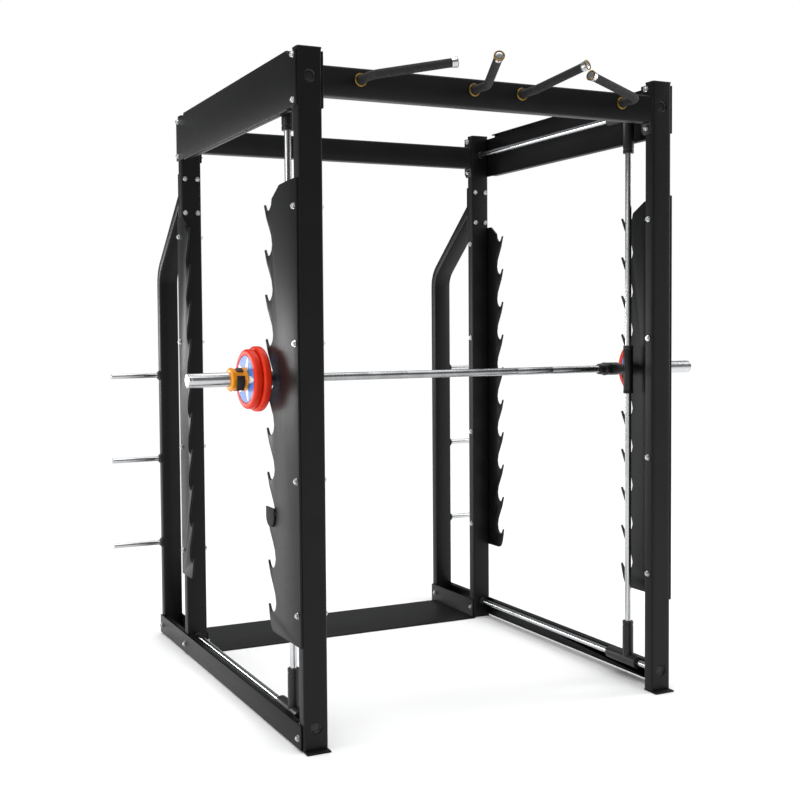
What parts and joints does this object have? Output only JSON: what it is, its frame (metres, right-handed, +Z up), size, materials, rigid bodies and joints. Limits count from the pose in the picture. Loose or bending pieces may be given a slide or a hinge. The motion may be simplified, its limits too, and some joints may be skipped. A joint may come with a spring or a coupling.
{
  "type": "smith machine",
  "caption": "Floor-standing smith machine: a loaded bar on vertical guide rods that slide front to back between rows of catch hooks, with pull-up handles and plate pegs.",
  "frame": {"origin": "middle of the machine's footprint, on the floor", "axes": "+X across the machine to the right, +Y from the pull-up handles to the storage posts, +Z up"},
  "size_m": [2.2, 1.9316, 2.33],
  "materials": {
    "powder_coat": "matte black powder coat",
    "black_cap": "satin black moulding",
    "black_housing": "satin black",
    "chrome": "polished chrome plate",
    "grip_rubber": "matte black rubber",
    "red_plate": "satin red rubber coating",
    "orange_collar": "orange moulded nylon",
    "black_lever": "satin black nylon",
    "stop_rubber": "matte black rubber"
  },
  "bodies": {
    "frame": {"front_left_upright": "powder_coat", "front_right_upright": "powder_coat", "rear_left_upright": "powder_coat", "rear_right_upright": "powder_coat", "front_left_catch_plate": "powder_coat", "front_right_catch_plate": "powder_coat", "rear_left_catch_plate": "powder_coat", "rear_right_catch_plate": "powder_coat", "front_left_foot_plate": "powder_coat", "front_right_foot_plate": "powder_coat", "left_side_beam": "powder_coat", "right_side_beam": "powder_coat", "front_crossbeam": "powder_coat", "rear_crossbeam": "powder_coat", "left_base_rail": "powder_coat", "right_base_rail": "powder_coat", "rear_floor_crossmember": "powder_coat", "left_storage_post": "powder_coat", "right_storage_post": "powder_coat", "front_left_top_cap": "black_cap", "front_right_top_cap": "black_cap", "rear_left_top_cap": "black_cap", "rear_right_top_cap": "black_cap", "left_plate_peg_1": "chrome", "left_plate_peg_2": "chrome", "left_plate_peg_3": "chrome", "right_plate_peg_1": "chrome", "right_plate_peg_2": "chrome", "right_plate_peg_3": "chrome", "left_upper_guide_rod": "chrome", "left_lower_guide_rod": "chrome", "right_upper_guide_rod": "chrome", "right_lower_guide_rod": "chrome", "outer_left_pull_up_handle": "grip_rubber", "outer_right_pull_up_handle": "grip_rubber", "inner_left_pull_up_handle": "grip_rubber", "inner_right_pull_up_handle": "grip_rubber", "stop_block": "stop_rubber"},
    "left_carriage": {"left_vertical_rod": "chrome", "left_upper_t_housing": "black_housing", "left_lower_t_housing": "black_housing"},
    "right_carriage": {"right_vertical_rod": "chrome", "right_upper_t_housing": "black_housing", "right_lower_t_housing": "black_housing"},
    "bar_carriage": {"left_slider": "black_housing", "right_slider": "black_housing"},
    "shaft": {"bar_shaft": "chrome", "left_hub_ring": "black_housing", "right_hub_ring": "black_housing"},
    "left_sleeve": {"left_bar_sleeve": "chrome", "left_inner_weight_plate": "red_plate", "left_outer_weight_plate": "red_plate", "left_collar": "orange_collar"},
    "left_lever": {"left_collar_lever": "black_lever"},
    "right_sleeve": {"right_bar_sleeve": "chrome", "right_inner_weight_plate": "red_plate", "right_outer_weight_plate": "red_plate", "right_collar": "orange_collar"},
    "right_lever": {"right_collar_lever": "black_lever"}
  },
  "joints": [
    {"name": "carriage_travel", "type": "slide", "parent": "frame", "child": "left_carriage", "axis": [0, 1, 0], "range_m": [-0.047, 0.861]},
    {"name": "right_carriage_travel", "type": "slide", "parent": "frame", "child": "right_carriage", "axis": [0, 1, 0], "range_m": [-0.047, 0.861]},
    {"name": "bar_lift", "type": "slide", "parent": "left_carriage", "child": "bar_carriage", "axis": [0, 0, 1], "range_m": [-0.907, 0.75]},
    {"name": "bar_turn", "type": "hinge", "parent": "bar_carriage", "child": "shaft", "pos_m": [0, -0.3872, 1.237], "axis": [1, 0, 0], "continuous": true},
    {"name": "left_sleeve_turn", "type": "hinge", "parent": "shaft", "child": "left_sleeve", "pos_m": [-0.8225, -0.3872, 1.237], "axis": [1, 0, 0], "continuous": true},
    {"name": "right_sleeve_turn", "type": "hinge", "parent": "shaft", "child": "right_sleeve", "pos_m": [0.8225, -0.3872, 1.237], "axis": [1, 0, 0], "continuous": true},
    {"name": "left_lever_turn", "type": "hinge", "parent": "left_sleeve", "child": "left_lever", "pos_m": [-0.9174, -0.43105, 1.24875], "axis": [1, 0, 0], "range_deg": [-80, 0]},
    {"name": "right_lever_turn", "type": "hinge", "parent": "right_sleeve", "child": "right_lever", "pos_m": [0.9174, -0.43105, 1.24875], "axis": [1, 0, 0], "range_deg": [-80, 0]}
  ],
  "couplings": [
    {"joint": "right_carriage_travel", "follows": "carriage_travel", "ratio": 1}
  ]
}
